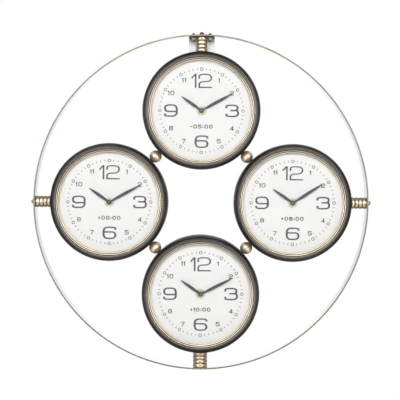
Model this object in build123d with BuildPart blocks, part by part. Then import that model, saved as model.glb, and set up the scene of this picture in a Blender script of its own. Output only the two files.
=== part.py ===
from build123d import *
import math
import os

# Wall clock for several time zones: four round clocks in one hoop, held by beaded posts and balls.
# Millimetres. X is to the viewer's right, Y runs from the viewer into the wall and Z is up.
# The origin is the centre of the hanger's keyhole, on the wall.
# Depths, such as dial_front, are distances from the wall towards the viewer.

# Hoop
ring_outer_diameter = 533.4
ring_thickness = 2.4
ring_depth = 30.0
ring_edge_radius = 0.6

# Clocks: the direction of each from the middle of the hoop, and the minutes past ten that it shows
clock_directions = {"top": 90, "right": 0, "bottom": 270, "left": 180}
shown_hour = 10
shown_minutes = {"top": 10.2, "right": 9.5, "bottom": 10.5, "left": 10.2}

# Posts between hoop and cases, and balls between neighbouring cases
post_length = 24.7
post_diameter = 18.2
bottom_post_diameter = 23.0
post_groove_depth = 1.0
post_beads = 4
ball_diameter = 19.6
ball_seat_depth = 0.35
seat_clearance = 0.05

# Cases: a spun cup with a rounded shoulder and a narrow lip
case_wall = 1.5
case_rear = 3.0
case_shoulder = 31.0
case_crest = 45.0
shoulder_width = 5.6
lip_width = 1.6
tab_width = 14.0
tab_length = 6.0
tabs_per_case = 4

# Bezel: a stepped ring inside the lip
bezel_width = 7.4
bezel_steps = 3
bezel_step_bulge = 0.45
bezel_inner_edge = 1.2
bezel_flange = 1.4
bezel_flange_thickness = 1.6
bezel_skirt_wall = 1.5
bezel_skirt_overlap = 3.0

# Lens and dial
lens_thickness = 2.0
lens_recess = 6.0
lens_overlap = 5.0
lens_clearance = 0.3
dial_depth = 10.0
dial_thickness = 1.0
dial_rim = 1.2

# Back cover
cover_thickness = 1.2
cover_clearance = 0.3
cover_skirt_wall = 1.2
window_clearance = 0.8

# Movement housing, and the room that it leaves round the wheels, the arbors' ends, the coil and the cell
movement_corner = 2.5
movement_wall = 1.2
movement_plate = 2.0
movement_back = 1.5
wheel_room = 1.1
arbor_room = 1.1
coil_room = 0.4
cell_end_room = 1.6
cell_back_room = 0.7
bushing_length = 5.5
bushing_wall = 1.3
running_clearance = 0.1
pivot_clearance = 0.08
pivot_depth = 1.2
boss_radius = 2.2
boss_height = 1.8

# Gear train: teeth, modules, and the direction of each arbor from the one before
centre_teeth = 64
third_teeth = 60
going_pinion_leaves = 8
going_module = 0.3
minute_teeth = 36
hour_teeth = 48
motion_pinion_leaves = 12
minute_module = 0.5
third_direction = 0
rotor_direction = 60
setting_direction = 90
wheel_thickness = 1.4
wheel_gap = 0.4
pinion_overhang = 0.6
arbor_hub_radius = 2.0
third_hub_radius = 1.1
hub_length = 0.8
centre_arbor_radius = 1.6
centre_pivot_radius = 1.0
small_pivot_radius = 0.5
setting_stem_radius = 1.5
setting_pivot_radius = 0.8
hour_tube_wall = 0.9
knob_radius = 6.0
knob_thickness = 3.4
knob_gap = 0.6
knob_ribs = 24
knob_rib_radius = 0.35

# Tooth form, in modules: height over and depth under the pitch circle, then width at root, pitch and tip
wheel_tooth = (0.95, 1.35, 1.62, 1.36, 0.55)
pinion_leaf = (0.85, 1.45, 0.85, 1.12, 0.50)

# Motor
magnet_radius = 2.2
magnet_length = 3.0
stator_thickness = 1.2
stator_width = 11.2
stator_limb = 2.2
stator_foot = 4.6
stator_head = 3.1
stator_reach = 15.2
coil_wall = 2.2
coil_clearance = 0.15
stator_post_radius = 1.0
board_width = 13.0
board_height = 32.0
board_thickness = 1.2
board_edge_gap = 1.5
board_top_gap = 3.0
board_bay_gap = 0.5

# Battery: a size AA cell in a bay under the wheels
battery_diameter = 14.1
battery_body = 49.2
battery_nub_radius = 2.6
battery_nub_length = 1.2
bay_clearance = 0.3
bay_wall = 1.0
contact_thickness = 0.4
contact_height = 9.0
contact_width = 8.0
contact_button_radius = 3.0
contact_gap = 0.1

# Hands
hand_thickness = 0.5
minute_hand_length = 58.0
hour_hand_length = 38.6
hand_root_width = 2.0
hand_waist_width = 4.9
hand_tip_width = 0.7
hand_waist_share = 0.45
hour_hub_radius = 4.2
minute_hub_radius = 3.4
hand_hub_height = 1.1
hand_gap = 0.6
cap_radius = 2.3
cap_height = 1.0
press_clearance = 0.03

# Nut and washer on the movement's bushing
hub_washer_radius = 7.8
hub_washer_thickness = 0.8
hub_nut_flats = 12.0
hub_nut_height = 2.4

# Screws
ring_screw_radius = 2.0
ring_screw_head_radius = 3.6
ring_screw_head_height = 5.3
ring_screw_reach = 9.0
flush_head_depth = 1.7
case_screw_radius = 1.5
case_screw_head_radius = 2.8
case_screw_head_height = 2.0
case_screw_reach = 6.5
hole_clearance = 0.1
thread_clearance = 0.03

# Hanger
hanger_width = 41.0
hanger_thickness = 1.6
hanger_height = 36.0
hanger_flange_depth = 25.0
hanger_corner = 4.0
keyhole_drop = 18.0
keyhole_diameter = 9.0
keyhole_slot = 4.6
keyhole_rise = 8.0
hanger_screw_spacing = 26.0
hanger_screw_radius = 1.5
hanger_screw_head_radius = 2.5
hanger_screw_head_height = 3.8
hanger_screw_end = 3.6
hanger_nut_flats = 5.5
hanger_nut_height = 2.4

# Places that follow from these sizes, across the wall: the cases fill what posts and balls leave of the hoop
ring_radius = ring_outer_diameter / 2
ring_inner_radius = ring_radius - ring_thickness
ball_radius = ball_diameter / 2
ball_gap = ball_diameter - 2 * ball_seat_depth
case_radius = (ring_inner_radius - post_length - ball_gap / math.sqrt(2)) / (1 + math.sqrt(2))
case_inner_radius = case_radius - case_wall
orbit_radius = ring_inner_radius - post_length - case_radius
hang_height = ring_inner_radius - keyhole_drop
middle_depth = ring_depth / 2
crest_radius = case_radius - shoulder_width
lip_radius = crest_radius - lip_width
bezel_outer_radius = lip_radius - seat_clearance
bezel_inner_radius = bezel_outer_radius - bezel_width
lens_radius = bezel_inner_radius + lens_overlap
skirt_inner_radius = lens_radius + lens_clearance

# Depths that follow from them, from the crest back to the movement's plate
lip_back = case_crest - case_wall
lens_front = case_crest - lens_recess
lens_back = lens_front - lens_thickness
dial_front = lens_back - dial_depth
dial_back = dial_front - dial_thickness
cover_rear = case_rear + case_wall
cover_front = cover_rear + cover_thickness
plate_face = dial_back - movement_plate
battery_depth = plate_face - running_clearance - battery_diameter / 2

# Depths in the gear train, each wheel from its back to its front
hour_wheel_front = plate_face - wheel_gap
hour_wheel_back = hour_wheel_front - wheel_thickness
cannon_front = hour_wheel_back - hub_length
minute_wheel_front = cannon_front - pinion_overhang
minute_wheel_back = minute_wheel_front - wheel_thickness
cannon_back = minute_wheel_back - pinion_overhang
minute_pinion_back = minute_wheel_front + hub_length
centre_wheel_front = cannon_back - hub_length
centre_wheel_back = centre_wheel_front - wheel_thickness
third_pinion_front = centre_wheel_front + pinion_overhang
third_pinion_back = centre_wheel_back - pinion_overhang
third_wheel_front = third_pinion_back - hub_length
third_wheel_back = third_wheel_front - wheel_thickness
rotor_pinion_front = third_wheel_front + wheel_gap
rotor_pinion_back = third_wheel_back - wheel_gap
magnet_back = rotor_pinion_front + hub_length
magnet_front = magnet_back + magnet_length
stator_back = (magnet_back + magnet_front - stator_thickness) / 2
stator_front = stator_back + stator_thickness

# Depths behind the train: the movement's rear clears the deepest pinion and the cell
train_rear = rotor_pinion_back - arbor_room - boss_height - movement_back
cell_rear = battery_depth - battery_diameter / 2 - cell_back_room
movement_rear = min(train_rear, cell_rear)
back_face = movement_rear + movement_back
boss_top = back_face + boss_height
knob_front = movement_rear - knob_gap
knob_rear = knob_front - knob_thickness

# Depths of what the bushing carries in front of the dial
bushing_front = dial_back + bushing_length
hour_hub_back = bushing_front + hand_gap
hour_tube_front = hour_hub_back + hand_hub_height
minute_hub_back = hour_tube_front + hand_gap
cap_back = minute_hub_back + hand_hub_height
centre_arbor_front = cap_back + cap_height / 3

# Arbors across the movement, from each clock's centre
hour_module = minute_module * (minute_teeth + motion_pinion_leaves) / (hour_teeth + motion_pinion_leaves)
third_distance = going_module * (centre_teeth + going_pinion_leaves) / 2
rotor_distance = going_module * (third_teeth + going_pinion_leaves) / 2
setting_distance = minute_module * (minute_teeth + motion_pinion_leaves) / 2


def polar(distance, angle):
    """A point at an angle from the right, turning anticlockwise as the viewer sees it."""
    return distance * math.cos(math.radians(angle)), distance * math.sin(math.radians(angle))


def added(one, other):
    return one[0] + other[0], one[1] + other[1]


third_arbor = polar(third_distance, third_direction)
rotor_arbor = added(third_arbor, polar(rotor_distance, rotor_direction))
setting_arbor = polar(setting_distance, setting_direction)
clock_centres = {name: polar(orbit_radius, angle) for name, angle in clock_directions.items()}


def wheel_tip(teeth, module):
    return module * (teeth / 2 + wheel_tooth[0])


# Movement layout, from each clock's centre: the housing takes in the cell, the wheels, the coil and the board
bushing_bore = centre_arbor_radius + hour_tube_wall + 2 * running_clearance
bushing_radius = bushing_bore + bushing_wall
bay_height = battery_diameter + 2 * bay_clearance
stator_bottom = rotor_arbor[1] - stator_foot
stator_top = rotor_arbor[1] + stator_reach
stator_window_bottom = rotor_arbor[1] + stator_foot
stator_window_top = stator_top - stator_head
largest_wheel = max(wheel_tip(centre_teeth, going_module), wheel_tip(hour_teeth, hour_module))
cavity_half = max(
    (battery_body + battery_nub_length) / 2 + cell_end_room,
    bay_height + bay_wall + wheel_room + largest_wheel,
    stator_top + coil_clearance + coil_wall + coil_room,
    board_edge_gap + board_width + wheel_room + largest_wheel,
    (bay_height + bay_wall + board_bay_gap + board_height + board_top_gap) / 2,
)
movement_size = 2 * (cavity_half + movement_wall)
bay_centre = -cavity_half + bay_height / 2
bay_top = bay_centre + bay_height / 2
board_centre = (
    -cavity_half + board_edge_gap + board_width / 2,
    cavity_half - board_top_gap - board_height / 2,
)


def face_plane(point, depth, turn=0):
    """A plane facing the viewer, at a point counted from the middle of the hoop."""
    across, up = polar(1, turn)
    return Plane(origin=(point[0], -depth, point[1] - hang_height), x_dir=(across, 0, up), z_dir=(0, -1, 0))


def turning_plane(point):
    """A plane for a turned profile: its x is the radius and its y the depth."""
    return Plane(origin=(point[0], 0, point[1] - hang_height), x_dir=(1, 0, 0), z_dir=(0, 0, -1))


def turning_axis(point):
    return Axis((point[0], 0, point[1] - hang_height), (0, -1, 0))


def spoke_plane(point, angle):
    """A plane whose normal leaves a point along an angle, at the hoop's middle depth."""
    across, up = polar(1, angle)
    return Plane(
        origin=(point[0], -middle_depth, point[1] - hang_height), x_dir=(0, -1, 0), z_dir=(across, 0, up)
    )


def spoke_section(point, angle):
    """A plane through that spoke: its x is the radius and its y the distance along the spoke."""
    across, up = polar(1, angle)
    return Plane(
        origin=(point[0], -middle_depth, point[1] - hang_height), x_dir=(0, -1, 0), z_dir=(-up, 0, across)
    )


def spoke_axis(point, angle):
    across, up = polar(1, angle)
    return Axis((point[0], -middle_depth, point[1] - hang_height), (across, 0, up))


def end_plane(point, depth):
    """A plane whose normal points to the right, for what lies along X."""
    return Plane(origin=(point[0], -depth, point[1] - hang_height), x_dir=(0, 0, 1), z_dir=(1, 0, 0))


def at_clocks(offset=(0, 0)):
    """The same place in each of the four clocks."""
    return [added(centre, offset) for centre in clock_centres.values()]


def link_angles(direction):
    """The three spokes of a case: outwards to its post, and to a ball on either side."""
    return direction, direction + 135, direction - 135


def gear_points(teeth, module, first, tooth):
    """The outline of a gear with a tooth centred on the angle first."""
    over, under, *widths = tooth
    pitch = module * teeth / 2
    radii = (pitch - under * module, pitch, pitch + over * module)
    flank = [(r, math.degrees(width * module / 2 / r)) for r, width in zip(radii, widths)]
    points = []
    for number in range(teeth):
        middle = first + 360 * number / teeth
        points += [polar(r, middle - half) for r, half in flank]
        points += [polar(r, middle + half) for r, half in reversed(flank)]
    return points


def opposite_gap(direction, leaves):
    """The first leaf of a pinion that meets a wheel's tooth with a gap."""
    return direction + 180 + 180 / leaves


def disc(point, radius, back, front, mode=Mode.ADD):
    """A round length of the piece being made."""
    with BuildSketch(face_plane(point, back)) as section:
        Circle(radius)
    extrude(section.sketch, amount=front - back, mode=mode)


def gear(point, teeth, module, first, tooth, back, front):
    """A toothed length of the piece being made."""
    with BuildSketch(face_plane(point, back)) as section:
        with BuildLine():
            Polyline(*gear_points(teeth, module, first, tooth), close=True)
        make_face()
    extrude(section.sketch, amount=front - back)


def save(piece, name):
    piece.part.label = name
    export_step(piece.part, f"parts/{name}.step")


# Hoop and hanger


def make_outer_ring():
    """The hoop: a flat band bent round, drilled for the posts' screws and the hanger's."""
    half_spacing = math.degrees(hanger_screw_spacing / 2 / ring_inner_radius)
    with BuildPart() as ring:
        with BuildSketch(face_plane((0, 0), 0)):
            Circle(ring_radius)
            Circle(ring_inner_radius, mode=Mode.SUBTRACT)
        extrude(amount=ring_depth)
        fillet(ring.edges().filter_by(GeomType.CIRCLE), ring_edge_radius)
        for angle in clock_directions.values():
            with BuildSketch(spoke_plane((0, 0), angle)):
                Circle(ring_screw_radius + hole_clearance)
            extrude(amount=ring_radius + ring_thickness, mode=Mode.SUBTRACT)
        for angle in (90 - half_spacing, 90 + half_spacing):
            with BuildSketch(spoke_plane((0, 0), angle)):
                Circle(hanger_screw_radius + hole_clearance)
            extrude(amount=ring_radius + ring_thickness, mode=Mode.SUBTRACT)
        bottom = clock_directions["bottom"]
        with BuildSketch(spoke_section((0, 0), bottom)):
            with BuildLine():
                Polyline(*flush_head(hole_clearance), close=True)
            make_face()
        revolve(axis=spoke_axis((0, 0), bottom), mode=Mode.SUBTRACT)
    save(ring, "outer_ring")


def flush_head(room):
    """The cone of the bottom post's screw, its top level with the hoop's outside."""
    seat = ring_radius - flush_head_depth - room
    wide = ring_screw_head_radius + room
    return [(0, seat), (ring_screw_radius, seat), (wide, ring_radius), (0, ring_radius)]


def make_hanger_plate():
    """An angle bracket: a plate on the wall with a keyhole, and a flange bent along the hoop."""
    half_spacing = math.degrees(hanger_screw_spacing / 2 / ring_inner_radius)
    outside = ring_inner_radius - seat_clearance
    inside = outside - hanger_thickness
    with BuildPart() as hanger:
        with BuildSketch(face_plane((0, 0), 0)) as plate:
            with Locations((0, ring_inner_radius - hanger_height / 2)):
                Rectangle(hanger_width, hanger_height)
            fillet(plate.vertices().group_by(Axis.Y)[0], hanger_corner)
            Circle(outside, mode=Mode.INTERSECT)
        extrude(amount=hanger_thickness)
        with BuildSketch(face_plane((0, 0), 0)):
            with Locations((0, ring_inner_radius)):
                Rectangle(hanger_width, hanger_height)
            Circle(outside, mode=Mode.INTERSECT)
            Circle(inside, mode=Mode.SUBTRACT)
        extrude(amount=hanger_flange_depth)
        with BuildSketch(face_plane((0, hang_height), 0)):
            Circle(keyhole_diameter / 2)
            with Locations((0, keyhole_rise / 2)):
                Rectangle(keyhole_slot, keyhole_rise)
            with Locations((0, keyhole_rise)):
                Circle(keyhole_slot / 2)
        extrude(amount=hanger_thickness, mode=Mode.SUBTRACT)
        with BuildSketch(spoke_plane((0, 0), 90)):
            Circle(ring_screw_radius + hole_clearance)
        extrude(amount=ring_radius, mode=Mode.SUBTRACT)
        for angle in (90 - half_spacing, 90 + half_spacing):
            with BuildSketch(spoke_plane((0, 0), angle)):
                Circle(hanger_screw_radius + hole_clearance)
            extrude(amount=ring_radius, mode=Mode.SUBTRACT)
    save(hanger, "hanger_plate")


def make_hanger_fasteners():
    """Two screws through hoop and flange, each with a nut below."""
    half_spacing = math.degrees(hanger_screw_spacing / 2 / ring_inner_radius)
    seat = ring_radius
    nut_top = ring_inner_radius - 2 * seat_clearance - hanger_thickness
    nut_bottom = nut_top - hanger_nut_height
    shank_end = nut_bottom - hanger_screw_end
    with BuildPart() as fasteners:
        for angle in (90 - half_spacing, 90 + half_spacing):
            with BuildSketch(spoke_plane((0, 0), angle).offset(nut_bottom)):
                RegularPolygon(hanger_nut_flats / 2, 6, major_radius=False)
                Circle(hanger_screw_radius + thread_clearance, mode=Mode.SUBTRACT)
            extrude(amount=hanger_nut_height)
            domed_screw(
                (0, 0), angle, seat, shank_end, hanger_screw_radius,
                hanger_screw_head_radius, hanger_screw_head_height,
            )
    save(fasteners, "hanger_fasteners")


def domed_screw(point, angle, seat, end, radius, head_radius, head_height):
    """A screw whose head stands on the seat, straight at the foot and round on top. Its shank runs in to the end."""
    top = seat + head_height
    dome_foot = max(seat, top - head_radius)
    dome_radius = (head_radius**2 + (top - dome_foot) ** 2) / (2 * (top - dome_foot))
    dome_centre = top - dome_radius
    half_turn = (math.degrees(math.asin((dome_foot - dome_centre) / dome_radius)) + 90) / 2
    halfway = added((0, dome_centre), polar(dome_radius, half_turn))
    corners = [(0, top), (0, end), (radius, end), (radius, seat), (head_radius, seat)]
    if dome_foot > seat:
        corners.append((head_radius, dome_foot))
    with BuildSketch(spoke_section(point, angle)) as profile:
        with BuildLine():
            Polyline(*corners)
            ThreePointArc(corners[-1], halfway, (0, top))
        make_face()
    revolve(profile.sketch, axis=spoke_axis(point, angle))


def make_ring_screws():
    """The screws that hold the posts to the hoop: round heads, and a flush one under the bottom post."""
    end = ring_inner_radius - ring_screw_reach
    with BuildPart() as screws:
        for name, angle in clock_directions.items():
            if name == "bottom":
                with BuildSketch(spoke_section((0, 0), angle)):
                    with BuildLine():
                        Polyline((0, end), (ring_screw_radius, end), *flush_head(0)[1:], close=True)
                    make_face()
                revolve(axis=spoke_axis((0, 0), angle))
            else:
                domed_screw(
                    (0, 0), angle, ring_radius, end, ring_screw_radius,
                    ring_screw_head_radius, ring_screw_head_height,
                )
    save(screws, "ring_screws")


def make_ring_posts():
    """Turned posts with round beads. Their ends are hollowed to sit on the case and in the hoop."""
    inner_end = orbit_radius + case_radius
    pitch = post_length / post_beads
    with BuildPart() as posts:
        for name, angle in clock_directions.items():
            bead = (bottom_post_diameter if name == "bottom" else post_diameter) / 2
            groove = bead - post_groove_depth
            with BuildSketch(spoke_section((0, 0), angle)):
                with BuildLine():
                    for number in range(post_beads):
                        start = inner_end + number * pitch
                        ThreePointArc((groove, start), (bead, start + pitch / 2), (groove, start + pitch))
                    first, last = inner_end - case_wall, ring_inner_radius + ring_thickness
                    Polyline((groove, ring_inner_radius), (groove, last), (0, last), (0, first))
                    Polyline((0, first), (groove, first), (groove, inner_end))
                make_face()
            revolve(axis=spoke_axis((0, 0), angle))
        with BuildSketch(face_plane((0, 0), 0)):
            Circle(ring_inner_radius - seat_clearance)
        extrude(amount=ring_depth, mode=Mode.INTERSECT)
        with BuildSketch(face_plane((0, 0), 0)):
            with Locations(*at_clocks()):
                Circle(case_radius + seat_clearance)
        extrude(amount=ring_depth, mode=Mode.SUBTRACT)
        with BuildSketch(face_plane((0, 0), 0)):
            with Locations((0, ring_inner_radius)):
                Rectangle(hanger_width, hanger_height)
            Circle(ring_inner_radius - 2 * seat_clearance - hanger_thickness, mode=Mode.SUBTRACT)
        extrude(amount=ring_depth, mode=Mode.SUBTRACT)
        for angle in clock_directions.values():
            with BuildSketch(spoke_plane((0, 0), angle).offset(inner_end)):
                Circle(case_screw_radius + thread_clearance)
            extrude(amount=case_screw_reach + hole_clearance, mode=Mode.SUBTRACT)
            with BuildSketch(spoke_plane((0, 0), angle).offset(ring_inner_radius)):
                Circle(ring_screw_radius + thread_clearance)
            extrude(amount=-ring_screw_reach - hole_clearance, mode=Mode.SUBTRACT)
    save(posts, "ring_posts")


def make_link_balls():
    """Balls that join neighbouring cases, hollowed a little where they sit on them."""
    place = orbit_radius / math.sqrt(2)
    with BuildPart() as balls:
        for angle in (45, 135, 225, 315):
            centre = polar(place, angle)
            with BuildSketch(spoke_section(centre, angle)):
                with BuildLine():
                    Line((0, -ball_radius), (0, ball_radius))
                    ThreePointArc((0, ball_radius), (ball_radius, 0), (0, -ball_radius))
                make_face()
            revolve(axis=spoke_axis(centre, angle))
        with BuildSketch(face_plane((0, 0), 0)):
            with Locations(*at_clocks()):
                Circle(case_radius + seat_clearance)
        extrude(amount=case_crest, mode=Mode.SUBTRACT)
        for name, direction in clock_directions.items():
            for angle in link_angles(direction)[1:]:
                with BuildSketch(spoke_plane(clock_centres[name], angle).offset(case_inner_radius)):
                    Circle(case_screw_radius + thread_clearance)
                extrude(amount=case_wall + case_screw_reach + hole_clearance, mode=Mode.SUBTRACT)
    save(balls, "link_balls")


def make_case_screws():
    """Pan-head screws from inside each case into its post and its two balls."""
    seat = math.sqrt(case_inner_radius**2 - case_screw_head_radius**2)
    top = seat - case_screw_head_height
    end = case_radius + case_screw_reach
    profile = [
        (0, top),
        (case_screw_head_radius * 0.7, top),
        (case_screw_head_radius, seat - case_screw_head_height / 2),
        (case_screw_head_radius, seat),
        (case_screw_radius, seat),
        (case_screw_radius, end),
        (0, end),
    ]
    with BuildPart() as screws:
        for name, direction in clock_directions.items():
            for angle in link_angles(direction):
                with BuildSketch(spoke_section(clock_centres[name], angle)):
                    with BuildLine():
                        Polyline(*profile, close=True)
                    make_face()
                revolve(axis=spoke_axis(clock_centres[name], angle))
    save(screws, "case_screws")


# Clock heads


def make_case(name):
    """The spun cup: a straight wall, a rounded shoulder, a lip, and tabs bent in at the rear."""
    centre, direction = clock_centres[name], clock_directions[name]
    rise, inner_rise = case_crest - case_shoulder, lip_back - case_shoulder
    with BuildPart() as case:
        with BuildSketch(turning_plane(centre)):
            with BuildLine():
                Line((case_radius, case_rear), (case_radius, case_shoulder))
                EllipticalCenterArc((crest_radius, case_shoulder), shoulder_width, rise, arc_size=90)
                Polyline(
                    (crest_radius, case_crest), (lip_radius, case_crest),
                    (lip_radius, lip_back), (crest_radius, lip_back),
                )
                EllipticalCenterArc(
                    (crest_radius, case_shoulder), shoulder_width - case_wall, inner_rise, arc_size=90
                )
                Polyline(
                    (case_inner_radius, case_shoulder), (case_inner_radius, case_rear),
                    (case_radius, case_rear),
                )
            make_face()
        revolve(axis=turning_axis(centre))
        with BuildSketch(face_plane(centre, case_rear)):
            with PolarLocations(case_inner_radius - tab_length / 2, tabs_per_case, direction + 45):
                Rectangle(tab_length + case_wall, tab_width)
        extrude(amount=case_wall)
        for angle in link_angles(direction):
            with BuildSketch(spoke_plane(centre, angle)):
                Circle(case_screw_radius + hole_clearance)
            extrude(amount=case_radius + case_wall, mode=Mode.SUBTRACT)
    save(case, f"{name}_case")


def make_bezel(name):
    """The stepped ring that shows inside the lip. It holds the lens and reaches back round the dial's rim."""
    centre = clock_centres[name]
    seat = lens_front + seat_clearance
    low = seat + bezel_inner_edge
    step = bezel_width / bezel_steps
    rise = (case_crest - low) / bezel_steps
    flange_radius = bezel_outer_radius + bezel_flange
    flange_top = lip_back - seat_clearance
    flange_bottom = flange_top - bezel_flange_thickness
    skirt_radius = skirt_inner_radius + bezel_skirt_wall
    skirt_back = lens_back - bezel_skirt_overlap
    with BuildPart() as bezel:
        with BuildSketch(turning_plane(centre)):
            with BuildLine():
                Line((bezel_inner_radius, seat), (bezel_inner_radius, low))
                for number in range(bezel_steps):
                    start = (bezel_inner_radius + number * step, low + number * rise)
                    end = (start[0] + step, start[1] + rise)
                    middle = (start[0] + step / 2 - bezel_step_bulge, start[1] + rise / 2 + bezel_step_bulge)
                    ThreePointArc(start, middle, end)
                Polyline(
                    (bezel_outer_radius, case_crest), (bezel_outer_radius, flange_top),
                    (flange_radius, flange_top), (flange_radius, flange_bottom),
                    (skirt_radius, flange_bottom), (skirt_radius, skirt_back),
                    (skirt_inner_radius, skirt_back), (skirt_inner_radius, seat),
                    (bezel_inner_radius, seat),
                )
            make_face()
        revolve(axis=turning_axis(centre))
    save(bezel, f"{name}_bezel")


def make_lens(name):
    with BuildPart() as lens:
        disc(clock_centres[name], lens_radius, lens_back, lens_front)
    save(lens, f"{name}_lens")


def make_dial(name):
    """A pressed dish: a flat dial with a rim turned up to carry the lens."""
    centre = clock_centres[name]
    rim_front = lens_back - seat_clearance
    with BuildPart() as dial:
        disc(centre, lens_radius, dial_back, rim_front)
        disc(centre, lens_radius - dial_rim, dial_front, rim_front, Mode.SUBTRACT)
        disc(centre, bushing_radius + running_clearance, dial_back, dial_front, Mode.SUBTRACT)
    save(dial, f"{name}_dial")


def make_back_covers():
    """A pan behind each dial: its skirt presses the dial forwards and the case's tabs hold it in."""
    skirt_radius = lens_radius - seat_clearance
    window = movement_size + 2 * window_clearance
    with BuildPart() as covers:
        with BuildSketch(face_plane((0, 0), cover_rear + seat_clearance)):
            with Locations(*at_clocks()):
                Circle(case_inner_radius - cover_clearance)
                Rectangle(window, window, mode=Mode.SUBTRACT)
        extrude(amount=cover_thickness)
        with BuildSketch(face_plane((0, 0), cover_front)):
            with Locations(*at_clocks()):
                Circle(skirt_radius)
                Circle(skirt_radius - cover_skirt_wall, mode=Mode.SUBTRACT)
        extrude(amount=dial_back - seat_clearance - cover_front)
    save(covers, "back_covers")


# Movements


def make_movement_cases():
    """The front half of each movement: plate, walls, battery bay, threaded bushing and pivot holes."""
    with BuildPart() as cases:
        with BuildSketch(face_plane((0, 0), back_face)):
            with Locations(*at_clocks()):
                RectangleRounded(movement_size, movement_size, movement_corner)
        extrude(amount=dial_back - back_face)
        with BuildSketch(face_plane((0, 0), back_face)):
            with Locations(*at_clocks()):
                Rectangle(2 * cavity_half, 2 * cavity_half)
        extrude(amount=plate_face - back_face, mode=Mode.SUBTRACT)
        with BuildSketch(face_plane((0, 0), back_face)):
            with Locations(*at_clocks((0, bay_top + bay_wall / 2))):
                Rectangle(2 * cavity_half, bay_wall)
        extrude(amount=plate_face - back_face)
        with BuildSketch(face_plane((0, 0), dial_back)):
            with Locations(*at_clocks()):
                Circle(bushing_radius)
        extrude(amount=bushing_length)
        with BuildSketch(face_plane((0, 0), plate_face)):
            with Locations(*at_clocks()):
                Circle(bushing_bore)
        extrude(amount=bushing_front - plate_face, mode=Mode.SUBTRACT)
        with BuildSketch(face_plane((0, 0), plate_face)):
            with Locations(*at_clocks(third_arbor), *at_clocks(rotor_arbor)):
                Circle(small_pivot_radius + pivot_clearance)
            with Locations(*at_clocks(setting_arbor)):
                Circle(setting_pivot_radius + pivot_clearance)
        extrude(amount=pivot_depth + running_clearance, mode=Mode.SUBTRACT)
        with BuildSketch(face_plane((0, 0), stator_front + seat_clearance)):
            with Locations(*stator_posts()):
                Circle(stator_post_radius)
        extrude(amount=plate_face - stator_front - seat_clearance)
    save(cases, "movement_cases")


def stator_posts():
    """Two posts in each movement that the stator's foot rests on."""
    reach = stator_width / 2 - stator_post_radius
    height = stator_bottom + stator_post_radius
    left, right = (rotor_arbor[0] - reach, height), (rotor_arbor[0] + reach, height)
    return at_clocks(left) + at_clocks(right)


def make_movement_covers():
    """The rear half of each movement: open over the battery, with bosses for the rear pivots."""
    with BuildPart() as covers:
        with BuildSketch(face_plane((0, 0), movement_rear)):
            with Locations(*at_clocks()):
                RectangleRounded(movement_size, movement_size, movement_corner)
            with Locations(*at_clocks((0, bay_centre))):
                Rectangle(2 * cavity_half, bay_height, mode=Mode.SUBTRACT)
        extrude(amount=movement_back - seat_clearance)
        with BuildSketch(face_plane((0, 0), movement_rear + movement_back / 2)):
            with Locations(*at_clocks(), *at_clocks(third_arbor), *at_clocks(rotor_arbor)):
                Circle(boss_radius)
        extrude(amount=boss_top - movement_rear - movement_back / 2)
        with BuildSketch(face_plane((0, 0), boss_top)):
            with Locations(*at_clocks()):
                Circle(centre_pivot_radius + pivot_clearance)
            with Locations(*at_clocks(third_arbor), *at_clocks(rotor_arbor)):
                Circle(small_pivot_radius + pivot_clearance)
        extrude(amount=-pivot_depth - running_clearance, mode=Mode.SUBTRACT)
        with BuildSketch(face_plane((0, 0), movement_rear)):
            with Locations(*at_clocks(setting_arbor)):
                Circle(setting_stem_radius + running_clearance)
        extrude(amount=movement_back, mode=Mode.SUBTRACT)
    save(covers, "movement_covers")


def make_motor_stators():
    """A flat iron frame round each rotor, with a head that carries the coil."""
    with BuildPart() as stators:
        with BuildSketch(face_plane((0, 0), stator_back)):
            with Locations(*at_clocks((rotor_arbor[0], (stator_bottom + stator_top) / 2))):
                Rectangle(stator_width, stator_top - stator_bottom)
            with Locations(*at_clocks((rotor_arbor[0], (stator_window_bottom + stator_window_top) / 2))):
                Rectangle(
                    stator_width - 2 * stator_limb, stator_window_top - stator_window_bottom,
                    mode=Mode.SUBTRACT,
                )
            with Locations(*at_clocks(rotor_arbor)):
                Circle(magnet_radius + wheel_gap, mode=Mode.SUBTRACT)
        extrude(amount=stator_thickness)
    save(stators, "motor_stators")


def make_motor_coils():
    """A winding round the head of each stator."""
    head_centre = (rotor_arbor[0], stator_top - stator_head / 2)
    hole_height = stator_head + 2 * coil_clearance
    hole_depth = stator_thickness + 2 * coil_clearance
    length = stator_width - 2 * stator_limb - 2 * coil_clearance
    back = stator_back - coil_clearance - coil_wall
    depth = hole_depth + 2 * coil_wall
    with BuildPart() as coils:
        with BuildSketch(face_plane((0, 0), back)):
            with Locations(*at_clocks(head_centre)):
                Rectangle(length, hole_height + 2 * coil_wall)
        extrude(amount=depth)
        with BuildSketch(face_plane((0, 0), back + coil_wall)):
            with Locations(*at_clocks(head_centre)):
                Rectangle(stator_width, hole_height)
        extrude(amount=hole_depth, mode=Mode.SUBTRACT)
    save(coils, "motor_coils")


def make_circuit_boards():
    """The board that steps the motor, lying on the rear half of the movement."""
    with BuildPart() as boards:
        with BuildSketch(face_plane((0, 0), back_face)):
            with Locations(*at_clocks(board_centre)):
                Rectangle(board_width, board_height)
        extrude(amount=board_thickness)
    save(boards, "circuit_boards")


def make_batteries():
    with BuildPart() as batteries:
        for centre in at_clocks((0, bay_centre)):
            start = -(battery_body + battery_nub_length) / 2
            with BuildSketch(end_plane(centre, battery_depth).offset(start)):
                Circle(battery_diameter / 2)
            extrude(amount=battery_body)
            with BuildSketch(end_plane(centre, battery_depth).offset(start + battery_body)):
                Circle(battery_nub_radius)
            extrude(amount=battery_nub_length)
    save(batteries, "batteries")


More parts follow.
